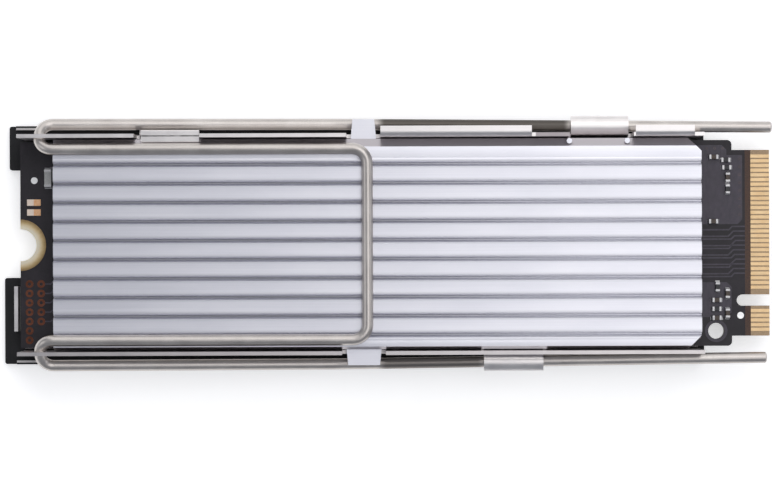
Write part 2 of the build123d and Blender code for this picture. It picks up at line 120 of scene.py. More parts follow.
# Films and matte surfaces: the pattern's values at their dark and light colours, and the grain's depth
FILM_DARK_AT = 0.32
FILM_LIGHT_AT = 0.68
GRAIN_DEPTH = 0.008 * MM

# How far roughness falls and rises with the wear of films and the grain of matte surfaces
FILM_SMOOTHER = 0.07
FILM_ROUGHER = 0.1
MATTE_SMOOTHER = 0.08
MATTE_ROUGHER = 0.1

# Radians that a wave pattern of scale 1 goes through in a metre
WAVE_PHASE = 20

# Bare and plated places on the board, with each ring column's distance from the back and its count
FOIL = 0.03 * MM
RING_OUTER = 0.42 * MM
RING_HOLE = 0.17 * MM
RING_PITCH = 1.0 * MM
RING_FIRST_Y = -4.15 * MM
RING_COLUMNS = ((0.95 * MM, 7), (2.2 * MM, 5))
RING_SIDES = 28
HOLE_X_FROM_FRONT = 5.7 * MM
HOLE_Y_FROM_SIDE = 1.6 * MM
HOLE_RING_INNER = 0.9 * MM
HOLE_RING_OUTER = 1.2 * MM
HOLE_RING_SIDES = 48
STRIP_LENGTH = 0.6 * MM
LAMINATE_HEIGHT = FOIL / 3
TONGUE_INSET = 1.075 * MM
TONGUE_LENGTH = 4.0 * MM
KEY_Y = -6.125 * MM
KEY_HALF = 0.6 * MM
KEY_DEPTH = 3.5 * MM
NOTCH_RADIUS = 1.75 * MM
NOTCH_PAD_WIDTH = 1.0 * MM
TINNED_SHARE = 0.5
TIN_ROUND = 0.4 * FOIL

# Copper under the mask
COPPER_UNDER_SINK = 1.0 * MM
UPPER_POUR_Y = 2.0 * MM
LOWER_POUR_Y = -4.2 * MM
POUR_BORDER = 0.55 * MM
POUR_CHAMFER = 0.5 * MM
POUR_HEIGHT = 0.012 * MM
TRACK_WIDTH = 0.16 * MM
TRACK_HEIGHT = 0.02 * MM
CONTACT_PITCH = 0.5 * MM
TRACK_NUMBERS = range(-7, 4)
TRACK_LEAD = 1.0 * MM
TRACK_STAGGER = 0.12 * MM
STAGGER_STEPS = 4
ODD_TRACK_JOG = 0.35 * MM
EVEN_TRACK_JOG = 0.55 * MM
RING_TRACK_LEAD = 1.0 * MM
RING_TRACK_JOG = 0.3 * MM
VIA_RADIUS = 0.16 * MM
VIA_HOLE = 0.06 * MM
VIA_HEIGHT = 0.022 * MM
VIA_PITCH = 0.85 * MM
VIA_SIDES = 14
VIA_FROM_SIDE = 0.35 * MM
VIA_FROM_CORNER = 0.4 * MM
SIDE_VIAS = 4
FRONT_VIAS = 8

# Chip parts
CHIP_END_SHARE = 0.26
LONGEST_CHIP_END = 0.3 * MM
LONG_CHIP = 1.5 * MM
LONG_CHIP_SLOT = 1
CHIP_ROUND = 0.045 * MM
BODY_INSET = 0.025 * MM
FILLET_REACH = 0.16 * MM
FILLET_RISE = 0.6
FILLET_STEPS = 5

# Leaf of sheet on the rest tab
LEAF_START = -25.85 * MM
LEAF_END = -19.65 * MM
LEAF_WEB_Y = 11.3 * MM
LEAF_INNER_Y = 10.75 * MM
LEAF_OUTER_Y = 12.05 * MM
LEAF_SHEET = 0.3 * MM
LEAF_TOP = 7.3 * MM
LEAF_ROUND = 0.08 * MM
REST_TAB_TOP = 4.2 * MM

# Rounded edges
ARC_PROFILE = 0.5
BOX_ROUND_STEPS = 2
PAD_ROUND = 0.16 * MM
PAD_ROUND_STEPS = 4
WELD = 0.002 * MM
EDGE_ROUNDS = {
    "base_tray": 0.10 * MM,
    "circuit_board": 0.04 * MM,
    "screw_notch_plating": 0.02 * MM,
}
EDGE_ROUND_STEPS = 3
ROUNDED_FROM = math.radians(40)

# Places that the materials and the added pieces follow
board_low, board_high = (Vector(corner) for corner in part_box("circuit_board"))
board_top = board_high.z
foil_bottom = board_top - FOIL
contacts_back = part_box("edge_contacts_top")[0][0]
strip_back = contacts_back - STRIP_LENGTH
shoulder = board_high.x - TONGUE_LENGTH
tongue_half = board_high.y - TONGUE_INSET
hole_center = (board_high.x - HOLE_X_FROM_FRONT, board_low.y + HOLE_Y_FROM_SIDE)
sink_low, sink_high = (Vector(corner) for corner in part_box("heatsink"))
copper_back = sink_high.x - COPPER_UNDER_SINK
tray_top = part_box("base_tray")[1][2]


class Finish:
    """A material with one principled shader, and short calls that add its pattern nodes."""

    def __init__(self, name, metallic=0.0, specular=0.5):
        self.material = bpy.data.materials.new(name)
        self.material.use_nodes = True
        self.tree = self.material.node_tree
        self.shader = self.tree.nodes["Principled BSDF"]
        self.shader.inputs["Metallic"].default_value = metallic
        self.shader.inputs["Specular IOR Level"].default_value = specular
        self.place = self.tree.nodes.new("ShaderNodeTexCoord").outputs["Object"]

    def link(self, output, target):
        self.tree.links.new(output, target)

    def noise(self, scale, detail, stretch=(1, 1, 1)):
        """Noise with that many spots a metre, and fewer along an axis whose stretch is small."""
        mapping = self.tree.nodes.new("ShaderNodeMapping")
        mapping.inputs["Scale"].default_value = stretch
        texture = self.tree.nodes.new("ShaderNodeTexNoise")
        texture.inputs["Scale"].default_value = scale
        texture.inputs["Detail"].default_value = detail
        self.link(self.place, mapping.inputs["Vector"])
        self.link(mapping.outputs["Vector"], texture.inputs["Vector"])
        return texture.outputs["Fac"]

    def waves(self, pitch, crest):
        """Even waves across Y: 1 at a crest and at each pitch from it, and 0 halfway between."""
        wave = self.tree.nodes.new("ShaderNodeTexWave")
        wave.bands_direction = "Y"
        wave.inputs["Scale"].default_value = 2 * math.pi / (WAVE_PHASE * pitch)
        wave.inputs["Distortion"].default_value = 0
        wave.inputs["Phase Offset"].default_value = math.pi * (1 - 2 * crest / pitch)
        self.link(self.place, wave.inputs["Vector"])
        return wave.outputs["Fac"]

    def coordinate(self, axis):
        """The place along an axis."""
        parts = self.tree.nodes.new("ShaderNodeSeparateXYZ")
        self.link(self.place, parts.inputs["Vector"])
        return parts.outputs[axis]

    def distance(self, x, y, z):
        """The distance from a point."""
        measure = self.tree.nodes.new("ShaderNodeVectorMath")
        measure.operation = "DISTANCE"
        measure.inputs[1].default_value = (x, y, z)
        self.link(self.place, measure.inputs[0])
        return measure.outputs["Value"]

    def mix(self, first, second, share):
        """The first pattern with a share of the second one mixed in."""
        mix = self.tree.nodes.new("ShaderNodeMix")
        mix.inputs["Factor"].default_value = share
        self.link(first, mix.inputs["A"])
        self.link(second, mix.inputs["B"])
        return mix.outputs["Result"]

    def times(self, first, second):
        """The product of two patterns."""
        product = self.tree.nodes.new("ShaderNodeMath")
        product.operation = "MULTIPLY"
        self.link(first, product.inputs[0])
        self.link(second, product.inputs[1])
        return product.outputs["Value"]

    def unsigned(self, value):
        """A value without its sign."""
        plain = self.tree.nodes.new("ShaderNodeMath")
        plain.operation = "ABSOLUTE"
        self.link(value, plain.inputs[0])
        return plain.outputs["Value"]

    def rise(self, value, start, end):
        """0 up to one value and 1 from another on, or the other way round, with a soft step."""
        step = self.tree.nodes.new("ShaderNodeMapRange")
        step.interpolation_type = "SMOOTHSTEP"
        step.inputs["From Min"].default_value = start
        step.inputs["From Max"].default_value = end
        self.link(value, step.inputs["Value"])
        return step.outputs["Result"]

    def between(self, value, low, high, fade):
        """1 between two values and 0 beyond them, with soft edges."""
        return self.times(
            self.rise(value, low - fade, low + fade),
            self.rise(value, high + fade, high - fade),
        )

    def facing_up(self, start, end):
        """A soft step over how level a face is, which is its normal's height without its sign."""
        geometry = self.tree.nodes.new("ShaderNodeNewGeometry")
        parts = self.tree.nodes.new("ShaderNodeSeparateXYZ")
        self.link(geometry.outputs["True Normal"], parts.inputs["Vector"])
        return self.rise(self.unsigned(parts.outputs["Z"]), start, end)

    def color(self, pattern, *stops):
        """Base colour from a pattern, by (position, colour) stops."""
        ramp = self.tree.nodes.new("ShaderNodeValToRGB")
        elements = ramp.color_ramp.elements
        while len(elements) < len(stops):
            elements.new(0.5)
        for element, (position, color) in zip(elements, stops):
            element.position = position
            element.color = (*color, 1)
        self.link(pattern, ramp.inputs["Fac"])
        self.base = ramp.outputs["Color"]
        self.link(self.base, self.shader.inputs["Base Color"])

    def tint(self, mask, color):
        """Takes the base colour towards another where a mask is 1."""
        mix = self.tree.nodes.new("ShaderNodeMixRGB")
        mix.inputs["Color2"].default_value = (*color, 1)
        self.link(mask, mix.inputs["Fac"])
        self.link(self.base, mix.inputs["Color1"])
        self.base = mix.outputs["Color"]
        self.link(self.base, self.shader.inputs["Base Color"])

    def roughness(self, pattern, low, high):
        """Roughness that follows a noise pattern from one value to another."""
        spread = self.tree.nodes.new("ShaderNodeMapRange")
        spread.inputs["From Min"].default_value = NOISE_LOW
        spread.inputs["From Max"].default_value = NOISE_HIGH
        spread.inputs["To Min"].default_value = low
        spread.inputs["To Max"].default_value = high
        self.link(pattern, spread.inputs["Value"])
        self.link(spread.outputs["Result"], self.shader.inputs["Roughness"])

    def bump(self, pattern, depth):
        """Fine relief of that depth, in shading only."""
        bump = self.tree.nodes.new("ShaderNodeBump")
        bump.inputs["Distance"].default_value = depth
        self.link(pattern, bump.inputs["Height"])
        self.link(bump.outputs["Normal"], self.shader.inputs["Normal"])


def extruded_aluminium():
    """Extruded aluminium with die lines along it, painted shade in the grooves that lightens towards the
    front and on the sloped flanks, and ribs that look faintly hollow.
    """
    finish = Finish("extruded_aluminium", metallic=1.0)
    lines = finish.noise(scale=9000, detail=2, stretch=(0.006, 1, 1))
    clouds = finish.noise(scale=260, detail=4, stretch=(0.35, 1, 1))
    grain = finish.noise(scale=16000, detail=2)
    finish.color(
        finish.mix(finish.mix(clouds, lines, share=0.35), grain, share=0.25),
        (0.30, (0.72, 0.725, 0.78)),
        (0.50, (0.80, 0.80, 0.855)),
        (0.70, (0.87, 0.87, 0.91)),
    )
    waves = finish.waves(GROOVE_PITCH, GROOVE_Y)
    across = finish.coordinate("Y")
    in_row = finish.between(across, *GROOVE_ROW, GROOVE_ROW_FADE)
    # Painted shade over the whole of each groove
    finish.tint(finish.times(finish.rise(waves, *GROOVE_WHOLE), in_row), (0.64, 0.64, 0.685))
    # Painted light: the groove shade grows lighter towards the front
    towards_front = finish.times(in_row, finish.rise(finish.coordinate("X"), *GROOVE_SHADE_LIGHTENS))
    sides = finish.between(waves, *GROOVE_SIDES, GROOVE_SIDES_FADE)
    floor = finish.rise(waves, *GROOVE_FLOOR)
    # Painted shade on the groove sides and floor, darker along the row and lighter towards the front
    for part, shade_color, front_shade_color in (
        (sides, (0.84, 0.84, 0.895), (0.96, 0.96, 0.98)),
        (floor, (0.49, 0.49, 0.525), (0.70, 0.70, 0.745)),
    ):
        finish.tint(finish.times(part, in_row), shade_color)
        finish.tint(finish.times(part, towards_front), front_shade_color)
    # Painted shade on the sloped flanks beyond the ribs
    beyond_ribs = finish.rise(finish.unsigned(across), FLANK_Y, FLANK_Y + FLANK_FADE)
    finish.tint(finish.times(finish.facing_up(*SLOPED_FACES), beyond_ribs), (0.53, 0.50, 0.52))
    finish.roughness(finish.mix(lines, grain, share=0.5), low=0.30, high=0.42)
    finish.bump(finish.times(waves, in_row), depth=RIB_HOLLOW)
    return finish.material


def drawn_wire():
    """Drawn spring wire with a grey stain, and painted shade on one stretch of each outer run."""
    finish = Finish("drawn_spring_wire", metallic=1.0)
    grain = finish.noise(scale=9000, detail=2)
    stain = finish.noise(scale=500, detail=3)
    finish.color(
        finish.mix(stain, grain, share=0.35),
        (0.30, (0.50, 0.465, 0.44)),
        (0.55, (0.59, 0.555, 0.525)),
        (0.75, (0.67, 0.635, 0.605)),
    )
    # Painted shade on one stretch of each outer run, deepest on the upper side
    for side, (start, end), color in (
        (1, WIRE_SHADE_UPPER, (0.11, 0.10, 0.09)),
        (-1, WIRE_SHADE_LOWER, (0.24, 0.22, 0.205)),
    ):
        stretch = finish.between(finish.coordinate("X"), start, end, WIRE_FADE)
        on_side = finish.rise(finish.coordinate("Y"), 0, side * MM)
        finish.tint(finish.times(stretch, on_side), color)
    finish.roughness(stain, low=0.32, high=0.40)
    finish.bump(grain, depth=0.0003 * MM)
    return finish.material


def plated_sheet_steel():
    """Bright steel, with painted shade at the channel's floor and on top of the lower wall, and darker on
    top of part of the upper wall.
    """
    finish = Finish("plated_sheet_steel", metallic=1.0)
    lines = finish.noise(scale=5000, detail=1, stretch=(0.01, 1, 1))
    spangle = finish.noise(scale=700, detail=2)
    finish.color(
        finish.mix(spangle, lines, share=0.25),
        (0.30, (0.77, 0.74, 0.73)),
        (0.55, (0.83, 0.80, 0.79)),
        (0.75, (0.87, 0.845, 0.835)),
    )
    # Painted shade at the floor of the channel
    floor_shade = finish.rise(
        finish.coordinate("Z"),
        STEEL_SHADE_BELOW,
        STEEL_SHADE_BELOW - STEEL_SHADE_FADE,
    )
    finish.tint(floor_shade, (0.10, 0.10, 0.10))
    across = finish.coordinate("Y")
    level = finish.facing_up(*LEVEL_FACES)
    # Painted shade on top of the lower wall
    lower_wall = finish.between(across, *LOWER_WALL_Y, WALL_FADE)
    finish.tint(finish.times(level, lower_wall), (0.60, 0.57, 0.565))
    # Darker on top of one stretch of the upper wall
    upper_wall = finish.between(across, *UPPER_WALL_Y, WALL_FADE)
    darker_stretch = finish.between(finish.coordinate("X"), *UPPER_WALL_DARKER_X, WALL_FADE)
    finish.tint(finish.times(level, finish.times(upper_wall, darker_stretch)), (0.36, 0.33, 0.34))
    finish.roughness(spangle, low=0.29, high=0.36)
    finish.bump(spangle, depth=0.002 * MM)
    return finish.material


def moulded_black():
    """Black tray with a pale metallic line along the top of the rims, a painted highlight."""
    finish = Finish("moulded_black", specular=0.3)
    spark = finish.noise(scale=9000, detail=3)
    haze = finish.noise(scale=400, detail=3)
    finish.color(
        finish.mix(haze, spark, share=0.4),
        (0.35, (0.007, 0.007, 0.008)),
        (0.70, (0.016, 0.016, 0.018)),
    )
    # Painted highlight: a pale metallic line along the top of the rims
    rim_glint = finish.times(
        finish.rise(finish.coordinate("Z"), tray_top - 2 * RIM_GLINT_EDGE, tray_top - RIM_GLINT_EDGE),
        finish.between(finish.unsigned(finish.coordinate("Y")), *RIM_GLINT_LINE, RIM_FADE),
    )
    finish.tint(rim_glint, (0.62, 0.60, 0.59))
    finish.link(rim_glint, finish.shader.inputs["Metallic"])
    finish.roughness(spark, low=0.42, high=0.60)
    finish.bump(spark, depth=0.01 * MM)
    return finish.material


def black_solder_mask():
    """Black mask on the faces, and the pressed layers of the laminate on the cut edges."""
    finish = Finish("black_solder_mask", specular=0.4)
    weave = finish.noise(scale=3500, detail=2)
    haze = finish.noise(scale=350, detail=4)
    layers = finish.noise(scale=9000, detail=2, stretch=(0.05, 0.05, 1))
    finish.color(
        finish.mix(haze, weave, share=0.4),
        (0.30, (0.010, 0.008, 0.011)),
        (0.70, (0.024, 0.019, 0.026)),
    )
    finish.tint(finish.times(finish.facing_up(*CUT_EDGES), layers), (0.10, 0.065, 0.035))
    finish.roughness(weave, low=0.34, high=0.50)
    finish.bump(weave, depth=0.005 * MM)
    return finish.material


def covered_copper():
    """Copper under the mask, which shows as a paler and slightly uneven place."""
    finish = Finish("mask_over_copper")
    haze = finish.noise(scale=1500, detail=3)
    slant = finish.noise(scale=2600, detail=2, stretch=(1, 0.35, 1))
    finish.color(
        finish.mix(haze, slant, share=0.5),
        (0.30, (0.034, 0.028, 0.042)),
        (0.70, (0.074, 0.062, 0.086)),
    )
    finish.roughness(haze, low=0.34, high=0.48)
    finish.bump(slant, depth=0.003 * MM)
    return finish.material


def ring_gold():
    """Gold round the screw notch with wear marks, and painted light and shade of a rounded ring: pale at
    the notch and darker towards the mask.
    """
    finish = Finish("immersion_gold", metallic=1.0)
    # Painted light and shade of a rounded ring: pale at the notch, darker towards the mask
    outward = finish.rise(
        finish.distance(board_low.x, 0, board_top),
        NOTCH_RADIUS,
        NOTCH_RADIUS + NOTCH_PAD_WIDTH,
    )
    wear = finish.noise(scale=2500, detail=4)
    finish.color(
        finish.mix(outward, wear, share=0.22),
        (0.15, (0.92, 0.84, 0.66)),
        (0.45, (0.80, 0.66, 0.42)),
        (0.75, (0.55, 0.40, 0.20)),
        (0.95, (0.30, 0.20, 0.10)),
    )
    finish.roughness(wear, low=0.30, high=0.46)
    finish.bump(wear, depth=0.004 * MM)
    return finish.material


def metal_film(name, dark, light, roughness):
    """A plated or bare metal surface with fine wear marks."""
    finish = Finish(name, metallic=1.0)
    wear = finish.noise(scale=5000, detail=4, stretch=(0.25, 1, 1))
    haze = finish.noise(scale=900, detail=3)
    finish.color(finish.mix(haze, wear, share=0.5), (FILM_DARK_AT, dark), (FILM_LIGHT_AT, light))
    finish.roughness(wear, low=roughness - FILM_SMOOTHER, high=roughness + FILM_ROUGHER)
    finish.bump(wear, depth=0.003 * MM)
    return finish.material


def matte(name, dark, light, roughness, scale, depth=GRAIN_DEPTH):
    """An opaque non-metal with a grained surface."""
    finish = Finish(name)
    grain = finish.noise(scale=scale, detail=4)
    finish.color(grain, (FILM_DARK_AT, dark), (FILM_LIGHT_AT, light))
    finish.roughness(grain, low=roughness - MATTE_SMOOTHER, high=roughness + MATTE_ROUGHER)
    finish.bump(grain, depth=depth)
    return finish.material


# Materials of the board, its parts and the pads
mask_material = black_solder_mask()
copper_under_mask = covered_copper()
gold_material = metal_film("hard_gold", (0.63, 0.435, 0.235), (0.77, 0.58, 0.345), 0.36)
tin_material = metal_film("tin_finish", (0.50, 0.50, 0.51), (0.70, 0.69, 0.69), 0.42)
bright_tin = metal_film("bright_tin", (0.85, 0.85, 0.84), (0.91, 0.91, 0.90), 0.38)
pale_solder = matte("pale_solder", (0.88, 0.71, 0.59), (0.95, 0.81, 0.69), 0.35, 5000, 0.004 * MM)
copper_material = matte("bare_copper", (0.86, 0.44, 0.21), (0.95, 0.58, 0.32), 0.35, 5000, 0.004 * MM)
tarnished_copper = metal_film("tarnished_copper", (0.10, 0.038, 0.024), (0.21, 0.085, 0.055), 0.48)
via_material = metal_film("tented_via", (0.07, 0.06, 0.065), (0.14, 0.12, 0.13), 0.45)
laminate_material = matte("bare_laminate", (0.055, 0.026, 0.016), (0.10, 0.048, 0.028), 0.5, 6000)
gap_laminate = matte("laminate_between_contacts", (0.41, 0.28, 0.16), (0.53, 0.37, 0.22), 0.45, 6000)
package_material = matte("mould_compound", (0.018, 0.018, 0.019), (0.036, 0.036, 0.038), 0.55, 12000)
ferrite_material = matte("ferrite", (0.05, 0.05, 0.052), (0.10, 0.10, 0.10), 0.6, 9000)
ceramic_material = matte("capacitor_ceramic", (0.055, 0.040, 0.032), (0.10, 0.074, 0.055), 0.45, 9000)
pale_ceramic = matte("pale_ceramic", (0.46, 0.46, 0.45), (0.58, 0.58, 0.56), 0.45, 9000)
resistor_material = matte("resistor_film", (0.012, 0.012, 0.014), (0.03, 0.03, 0.034), 0.35, 9000)
pad_material = matte("thermal_pad", (0.30, 0.33, 0.37), (0.42, 0.45, 0.49), 0.75, 5000, 0.02 * MM)

# Materials of the CAD nodes that are shown
node_materials = {
    "base_tray": moulded_black(),
    "retainer_channel": plated_sheet_steel(),
    "wire_clip": drawn_wire(),
    "heatsink": extruded_aluminium(),
    "circuit_board": mask_material,
    "edge_contacts_top": gold_material,
    "edge_contacts_bottom": gold_material,
    "screw_notch_plating": ring_gold(),
    "fiducial_dots": bright_tin,
    "test_pads": copper_material,
    "flash_chip_1": package_material,
    "flash_chip_2": package_material,
    "dram_chip": package_material,
    "controller_chip": package_material,
    "power_chip": package_material,
    "boot_memory_chip": package_material,
    "clock_crystal": tin_material,
    "inductors": ferrite_material,
}
for node_name, material in node_materials.items():
    node_mesh = nodes[node_name].data
    node_mesh.materials.clear()
    node_mesh.materials.append(material)


def soften(node_name, width):
    """Rounds a node's sharp edges a little, as sawn, pressed and moulded edges are."""
    modifiers = nodes[node_name].modifiers
    weld = modifiers.new("joined_faces", "WELD")
    weld.merge_threshold = WELD
    bevel = modifiers.new("rounded_edges", "BEVEL")
    bevel.width = width
    bevel.segments = EDGE_ROUND_STEPS
    bevel.limit_method = "ANGLE"
    bevel.angle_limit = ROUNDED_FROM
    bevel.harden_normals = True


for node_name, width in EDGE_ROUNDS.items():
    soften(node_name, width)


def add_piece(name, bm, material, slot, *replaced):
    """Turns a bmesh into a piece of the object, which may stand for CAD nodes."""
    bmesh.ops.recalc_face_normals(bm, faces=bm.faces)
    mesh = bpy.data.meshes.new(name)
    bm.to_mesh(mesh)
    bm.free()
    mesh.materials.append(material)
    piece = bpy.data.objects.new(name, mesh)
    scene.collection.objects.link(piece)
    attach(piece, BODY)
    if replaced:
        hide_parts(*replaced)
    return piece


def add_box(bm, low, high, rounding, steps=BOX_ROUND_STEPS):
    """A box between two corners with rounded edges."""
    corners = bmesh.ops.create_cube(bm, size=1.0)["verts"]
    middle = (Vector(low) + Vector(high)) / 2
    size = Vector(high) - Vector(low)
    for corner in corners:
        corner.co = middle + Vector(part * length for part, length in zip(corner.co, size))
    edges = {edge for corner in corners for edge in corner.link_edges}
    bmesh.ops.bevel(
        bm,
        geom=list(edges),
        offset=rounding,
        segments=steps,
        profile=ARC_PROFILE,
        affect="EDGES",
    )


def bridge(bm, first, second):
    """Faces between two closed loops with as many corners each."""
    for index in range(len(first)):
        after = (index + 1) % len(first)
        bm.faces.new((first[index], first[after], second[after], second[index]))


def add_prism(bm, outline, height):
    """A plate on the board over a flat outline of (x, y) points."""
    bottom = [bm.verts.new((x, y, foil_bottom)) for x, y in outline]
    top = [bm.verts.new((x, y, board_top + height)) for x, y in outline]
    bm.faces.new(bottom)
    bm.faces.new(top)
    bridge(bm, bottom, top)


def add_ring(bm, center, inner, outer, height, sides):
    """A flat ring on the board with square edges."""
    top = board_top + height
    loops = []
    for radius, level in ((inner, foil_bottom), (inner, top), (outer, top), (outer, foil_bottom)):
        loop = []
        for step in range(sides):
            turn = 2 * math.pi * step / sides
            x = center[0] + radius * math.cos(turn)
            y = center[1] + radius * math.sin(turn)
            loop.append(bm.verts.new((x, y, level)))
        loops.append(loop)
    for index, loop in enumerate(loops):
        bridge(bm, loop, loops[(index + 1) % len(loops)])


def add_track(bm, points):
    """A track on the board along a line of (x, y) points, with mitred corners."""
    top = board_top + TRACK_HEIGHT
    spots = [Vector(point) for point in points]
    runs = [(after - before).normalized() for before, after in zip(spots, spots[1:])]
    rows = []
    for index, spot in enumerate(spots):
        into = runs[max(index - 1, 0)]
        out_of = runs[min(index, len(runs) - 1)]
        along = (into + out_of).normalized()
        across = Vector((-along.y, along.x)) * TRACK_WIDTH / 2 / along.dot(into)
        left = spot + across
        right = spot - across
        corners = ((left, foil_bottom), (left, top), (right, top), (right, foil_bottom))
        rows.append([bm.verts.new((place.x, place.y, level)) for place, level in corners])
    bm.faces.new(rows[0])
    bm.faces.new(rows[-1])
    for before, after in zip(rows, rows[1:]):
        bridge(bm, before, after)


def solid_boxes(node_name):
    """The boxes of a CAD node's separate solids, in order along X and Y."""
    bm = bmesh.new()
    bm.from_mesh(nodes[node_name].data)
    bmesh.ops.remove_doubles(bm, verts=bm.verts, dist=WELD)
    waiting = set(bm.verts)
    boxes = []
    while waiting:
        found = [waiting.pop()]
        for vert in found:
            for edge in vert.link_edges:
                other = edge.other_vert(vert)
                if other in waiting:
                    waiting.remove(other)
                    found.append(other)
        low = Vector(min(vert.co[axis] for vert in found) for axis in range(3))
        high = Vector(max(vert.co[axis] for vert in found) for axis in range(3))
        boxes.append((low, high))
    bm.free()
    return sorted(boxes, key=lambda box: tuple(box[0]))


def add_fillet(bm, low, high, long_axis, end):
    """A concave solder wedge on the board at one end of a chip part."""
    wide_axis = 1 - long_axis
    start = high[long_axis] if end > 0 else low[long_axis]
    rise = FILLET_RISE * (high.z - low.z)
    profile = [(0.0, 0.0), (FILLET_REACH, 0.0)]
    for step in range(1, FILLET_STEPS):
        turn = math.pi / 2 * step / FILLET_STEPS
        profile.append((FILLET_REACH * (1 - math.sin(turn)), rise * (1 - math.cos(turn))))
    profile.append((0.0, rise))
    faces = []
    for side in (low[wide_axis] + BODY_INSET, high[wide_axis] - BODY_INSET):
        face = []
        for out, up in profile:
            point = Vector((0, 0, low.z + up))
            point[long_axis] = start + end * out
            point[wide_axis] = side
            face.append(bm.verts.new(point))
        faces.append(face)
    for face in faces:
        bm.faces.new(face)
    bridge(bm, *faces)


def chip_bodies(node_name, body_name, material, slot, ends):
    """Bodies in place of a node's blocks, pale on long parts. Plated ends and solder go into ends."""
    bodies = bmesh.new()
    for low, high in solid_boxes(node_name):
        long_axis = 0 if high.x - low.x > high.y - low.y else 1
        length = high[long_axis] - low[long_axis]
        end_length = min(CHIP_END_SHARE * length, LONGEST_CHIP_END)
        body_low = low + Vector((BODY_INSET, BODY_INSET, 0))
        body_high = high - Vector((BODY_INSET, BODY_INSET, BODY_INSET))
        before = len(bodies.faces)
        add_box(bodies, body_low, body_high, CHIP_ROUND)
        if length > LONG_CHIP:
            bodies.faces.ensure_lookup_table()
            for face in bodies.faces[before:]:
                face.material_index = LONG_CHIP_SLOT
        for end in (-1, 1):
            end_low = low.copy()
            end_high = high.copy()
            if end < 0:
                end_high[long_axis] = low[long_axis] + end_length
            else:
                end_low[long_axis] = high[long_axis] - end_length
            add_box(ends, end_low, end_high, CHIP_ROUND)
            add_fillet(ends, low, high, long_axis, end)
    piece = add_piece(body_name, bodies, material, slot, node_name)
    piece.data.materials.append(pale_ceramic)


def chip_parts():
    """All the chip parts, with one piece for their plated ends and solder."""
    ends = bmesh.new()
    chip_bodies("ceramic_capacitors", "capacitor_bodies", ceramic_material, "capacitor_ceramic", ends)
    chip_bodies("chip_resistors", "resistor_bodies", resistor_material, "resistor_film", ends)
    add_piece("soldered_chip_ends", ends, tin_material, "tin_finish")


def ring_pads():
    """Columns of tarnished copper rings, free of mask, at the screw end."""
    rings = bmesh.new()
    for from_back, count in RING_COLUMNS:
        for row in range(count):
            center = (board_low.x + from_back, RING_FIRST_Y - row * RING_PITCH)
            add_ring(rings, center, RING_HOLE, RING_OUTER, FOIL, RING_SIDES)
    add_piece("ring_pads", rings, tarnished_copper, "bare_copper")


def bare_laminate():
    """The strip of laminate without mask behind the contacts, and that between the contacts."""
    spans = ((-tongue_half, KEY_Y - KEY_HALF), (KEY_Y + KEY_HALF, tongue_half))
    for name, start, end, material in (
        ("bare_laminate_strip", strip_back, contacts_back, laminate_material),
        ("laminate_under_contacts", contacts_back, board_high.x, gap_laminate),
    ):
        plates = bmesh.new()
        for low_y, high_y in spans:
            outline = ((start, low_y), (end, low_y), (end, high_y), (start, high_y))
            add_prism(plates, outline, LAMINATE_HEIGHT)
        add_piece(name, plates, material, "black_board")


def tooling_hole_ring():
    """A ring of covered copper round the tooling hole."""
    ring = bmesh.new()
    add_ring(ring, hole_center, HOLE_RING_INNER, HOLE_RING_OUTER, FOIL, HOLE_RING_SIDES)
    add_piece("tooling_hole_ring", ring, copper_under_mask, "black_board")


def copper_pours():
    """Two areas of copper under the mask at the connector end, set in from the board's edges."""
    edge = board_high.y - POUR_BORDER
    tongue_edge = tongue_half - POUR_BORDER
    front = strip_back - POUR_BORDER / 2
    step_back = shoulder - POUR_BORDER
    upper_outline = (
        (copper_back, UPPER_POUR_Y),
        (front - POUR_CHAMFER, UPPER_POUR_Y),
        (front, UPPER_POUR_Y + POUR_CHAMFER),
        (front, tongue_edge),
        (step_back, tongue_edge),
        (step_back, edge - POUR_CHAMFER),
        (step_back - POUR_CHAMFER, edge),
        (copper_back, edge),
    )
    key_end = board_high.x - KEY_DEPTH - POUR_BORDER
    beside_hole = hole_center[1] + HOLE_RING_OUTER + POUR_BORDER / 2
    lower_outline = (
        (copper_back, LOWER_POUR_Y),
        (key_end - POUR_CHAMFER, LOWER_POUR_Y),
        (key_end, LOWER_POUR_Y - POUR_CHAMFER),
        (key_end, beside_hole + POUR_CHAMFER),
        (key_end - POUR_CHAMFER, beside_hole),
        (copper_back, beside_hole),
    )
    pours = bmesh.new()
    for outline in (upper_outline, lower_outline):
        add_prism(pours, outline, POUR_HEIGHT)
    add_piece("copper_pours", pours, copper_under_mask, "black_board")


def signal_tracks():
    """Tracks from the contacts and from a column of ring pads to under the heat sink."""
    tracks = bmesh.new()
    for number in TRACK_NUMBERS:
        y = number * CONTACT_PITCH + CONTACT_PITCH / 2
        jog = ODD_TRACK_JOG if number % 2 else EVEN_TRACK_JOG
        turn = strip_back - TRACK_LEAD - TRACK_STAGGER * (number % STAGGER_STEPS)
        add_track(tracks, ((strip_back, y), (turn, y), (turn - jog, y - jog), (copper_back, y - jog)))
    from_back, count = RING_COLUMNS[1]
    ring_x = board_low.x + from_back
    turn = ring_x + RING_TRACK_LEAD
    for row in range(count):
        y = RING_FIRST_Y - row * RING_PITCH
        points = (
            (ring_x + RING_HOLE, y),
            (turn, y),
            (turn + RING_TRACK_JOG, y + RING_TRACK_JOG),
            (sink_low.x + COPPER_UNDER_SINK, y + RING_TRACK_JOG),
        )
        add_track(tracks, points)
    add_piece("signal_tracks", tracks, copper_under_mask, "black_board")


